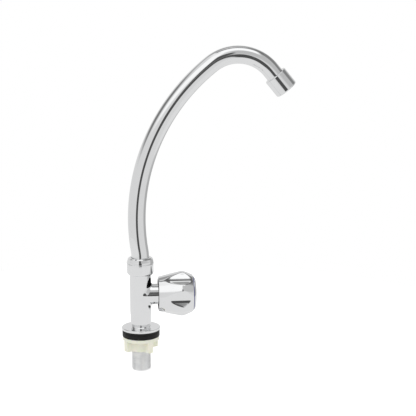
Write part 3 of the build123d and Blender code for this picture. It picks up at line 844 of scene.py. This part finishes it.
def fluted_knob():
    """Hollow double cone with scooped flutes, with a near-black painted shade inside for the shadow
    in its hollow.
    """
    low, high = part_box("knob")
    rings = []
    for across, along in knob_outline(low.x, high.x):
        ring = []
        for index in range(knob_segments):
            turn = 2 * pi * index / knob_segments
            radius = fluted_radius(across, turn)
            # The angle starts at the camera's side, -Y, and grows downwards.
            ring.append((along, -radius * cos(turn), valve_axis_z - radius * sin(turn)))
        rings.append(ring)
    knob = skin("fluted_knob", rings)
    stand_for(knob, "knob")
    # Faces deep inside the hollow get the near-black painted shade in place of chrome.
    knob.data.materials.append(knob_painted_shade)
    for polygon in knob.data.polygons:
        middle = polygon.center
        inside = hypot(middle.y, middle.z - valve_axis_z) < painted_shade_radius
        if inside and middle.x < high.x - painted_shade_depth:
            polygon.material_index = 1


def blue_ring():
    """Blue ring on the knob's face, round the cap's plug."""
    low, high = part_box("index_ring")
    radius = (high.z - low.z) / 2
    outline = rounded([
        (cap_plug_radius, low.x, 0),
        (radius, low.x, 0.25 * mm),
        (radius, high.x, 0.35 * mm),
        (cap_plug_radius, high.x, 0),
    ])
    stand_for(lathe("blue_ring", outline, valve_place), "index_ring")


def domed_cap():
    """Pale domed cap over the blue ring, with its hollow plug in the knob."""
    low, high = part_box("index_cap")
    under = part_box("index_ring")[1].x
    radius = (high.z - low.z) / 2
    crown = Vector((cap_crown_radius, high.x - cap_crown_drop))
    dome, slope = tangent_arc(Vector((0, high.x)), crown, Vector((1, 0)))
    shoulder = tangent_arc(crown, Vector((radius, under + cap_edge)), slope)[0]
    hollow = cap_plug_radius - cap_plug_wall
    outline = dome + shoulder[1:]
    outline += [(radius, under), (cap_plug_radius, under), (cap_plug_radius, low.x)]
    outline += [(hollow, low.x), (hollow, under), (0, under)]
    stand_for(lathe("domed_cap", outline, valve_place), "index_cap")


bent_tube()
outlet_sleeve()
union_nut()
deck_flange()
rubber_ring("deck_seal", "base_seal", seal_bore, seal_rounding)
rubber_ring("rubber_washer", "clamp_washer", washer_bore, washer_rounding)
threaded_shank()
polished_neck()
valve_body()
fluted_knob()
blue_ring()
domed_cap()


# Floor, light and camera

def make_floor():
    """Round table under the shank, white to the camera except in its shadows.

    In reflections it shows one plain level, without shadows."""
    disc = circle(floor_radius, floor_z, segments=floor_segments)
    mesh = bpy.data.meshes.new("floor")
    mesh.from_pydata(disc, [], [list(range(floor_segments))])
    floor = bpy.data.objects.new("floor", mesh)
    bpy.context.scene.collection.objects.link(floor)
    finish = Finish("white_floor", floor_grey, 0.9)
    finish.set("Specular IOR Level", 0.0)
    rays = finish.node("LightPath").outputs
    finish.tint(rays["Is Glossy Ray"], floor_grey, (0.0, 0.0, 0.0))
    seen = finish.math("MULTIPLY", rays["Is Camera Ray"], floor_glow_seen)
    mirrored = finish.math("MULTIPLY", rays["Is Glossy Ray"], floor_glow_mirrored)
    finish.set("Emission Color", (1, 1, 1, 1))
    finish.set("Emission Strength", finish.math("ADD", seen, mirrored))
    mesh.materials.append(finish.material)


class Surroundings(NodeTree):
    """World seen as light panels and gaps round the tap, by their angles in degrees.

    Azimuth 0 is in front of the tap, at -Y, and 90 is at +X. A later panel covers earlier ones."""

    def __init__(self):
        world = bpy.data.worlds.new("light_tent")
        bpy.context.scene.world = world
        world.use_nodes = True
        super().__init__(world.node_tree)
        direction = self.node("TexCoord").outputs["Generated"]
        parts = self.node("SeparateXYZ", {"Vector": direction}).outputs
        front = self.math("MULTIPLY", parts["Y"], -1.0)
        self.azimuth = self.math("DEGREES", self.math("ARCTAN2", parts["X"], front))
        self.elevation = self.math("DEGREES", self.math("ARCSINE", parts["Z"]))
        self.over = self.math("DEGREES", self.math("ARCTAN2", parts["Z"], front))
        self.aside = self.math("DEGREES", self.math("ARCSINE", parts["X"]))
        self.level = room_level

    def inside(self, angle, span, soft):
        """1 where the angle is within the span, and 0 outside it, with a soft edge."""
        half = (span[1] - span[0]) / 2
        offset = self.math("WRAP", self.math("SUBTRACT", angle, sum(span) / 2), 180.0, -180.0)
        away = self.math("ABSOLUTE", offset)
        return self.spread(away, half - soft, half + soft, 1.0, 0.0, "SMOOTHSTEP")

    def cover(self, first, second, level):
        """Gives its own brightness to the place where both shares are 1."""
        self.level = self.between(self.math("MULTIPLY", first, second), self.level, level)

    def panel(self, azimuths, elevations, level, soft):
        """Panel between two azimuths and two elevations."""
        across = self.inside(self.azimuth, azimuths, soft)
        upright = self.inside(self.elevation, elevations, soft)
        self.cover(across, upright, level)

    def overhead(self, spans, sides, level, soft):
        """Strip above the tap, by its angles up from the front and its angles towards +X."""
        along = self.inside(self.over, spans, soft)
        across = self.inside(self.aside, sides, soft)
        self.cover(along, across, level)

    def light(self):
        """Joins the panels to the world for reflections, and plain white for all else."""
        mirrored = self.node("LightPath").outputs["Is Glossy Ray"]
        background = self.tree.nodes["Background"].inputs
        self.join((1, 1, 1, 1), background["Color"])
        self.join(self.between(mirrored, backdrop_white, self.level), background["Strength"])


def make_surroundings():
    """Bright ceiling and front panels, dimmer walls and dark gaps."""
    tent = Surroundings()
    # Ceiling, bright panel on the left of the camera and a dimmer one on its right
    tent.panel((-200, 200), (60, 100), 0.98, 8)
    tent.panel((-71, -14), (22, 62), 1.1, 6)
    tent.panel((-1, 99), (12, 58), 0.56, 6)
    # Dim walls behind the tap and at its sides
    tent.panel((124, 224), (36, 62), 0.36, 7)
    tent.panel((79, 149), (22, 58), 0.24, 7)
    tent.panel((-138, -90), (14, 44), 0.22, 7)
    tent.panel((95, 165), (-25, 10), 0.46, 8)
    # Dark gaps straight in front, a wide low one and a narrower one over it
    tent.panel((-14, 11), (-32, 7), 0.08, 2)
    tent.panel((-14, 5), (7, 34), 0.1, 2)
    # Dark strip and bright strip overhead
    tent.overhead((96, 108), (-22, 38), 0.12, 2)
    tent.overhead((58, 88), (-16, 32), 1.15, 4)
    tent.light()


def make_key_light():
    """Large soft lamp above, on the left of the camera, that isn't seen in reflections."""
    lamp = bpy.data.lights.new("soft_key", "AREA")
    lamp.shape = "RECTANGLE"
    lamp.size = lamp_size
    lamp.size_y = lamp_size
    lamp.energy = lamp_power
    holder = bpy.data.objects.new("soft_key", lamp)
    bpy.context.scene.collection.objects.link(holder)
    holder.location = lamp_place
    holder.rotation_mode = "QUATERNION"
    holder.rotation_quaternion = (lamp_aim - lamp_place).to_track_quat("-Z", "Y")
    holder.visible_glossy = False


def make_camera():
    """Long lens from the front, looking a little down on the tap."""
    camera = bpy.data.cameras.new("photo_camera")
    camera.sensor_width = sensor_width
    camera.lens = camera_focal * sensor_width / photo_width
    holder = bpy.data.objects.new("photo_camera", camera)
    bpy.context.scene.collection.objects.link(holder)
    holder.location = camera_place
    holder.rotation_euler = (radians(90 - camera_pitch), 0, radians(-camera_turn))
    bpy.context.scene.camera = holder


make_floor()
make_surroundings()
make_key_light()
make_camera()
bpy.context.scene.view_settings.view_transform = "Standard"
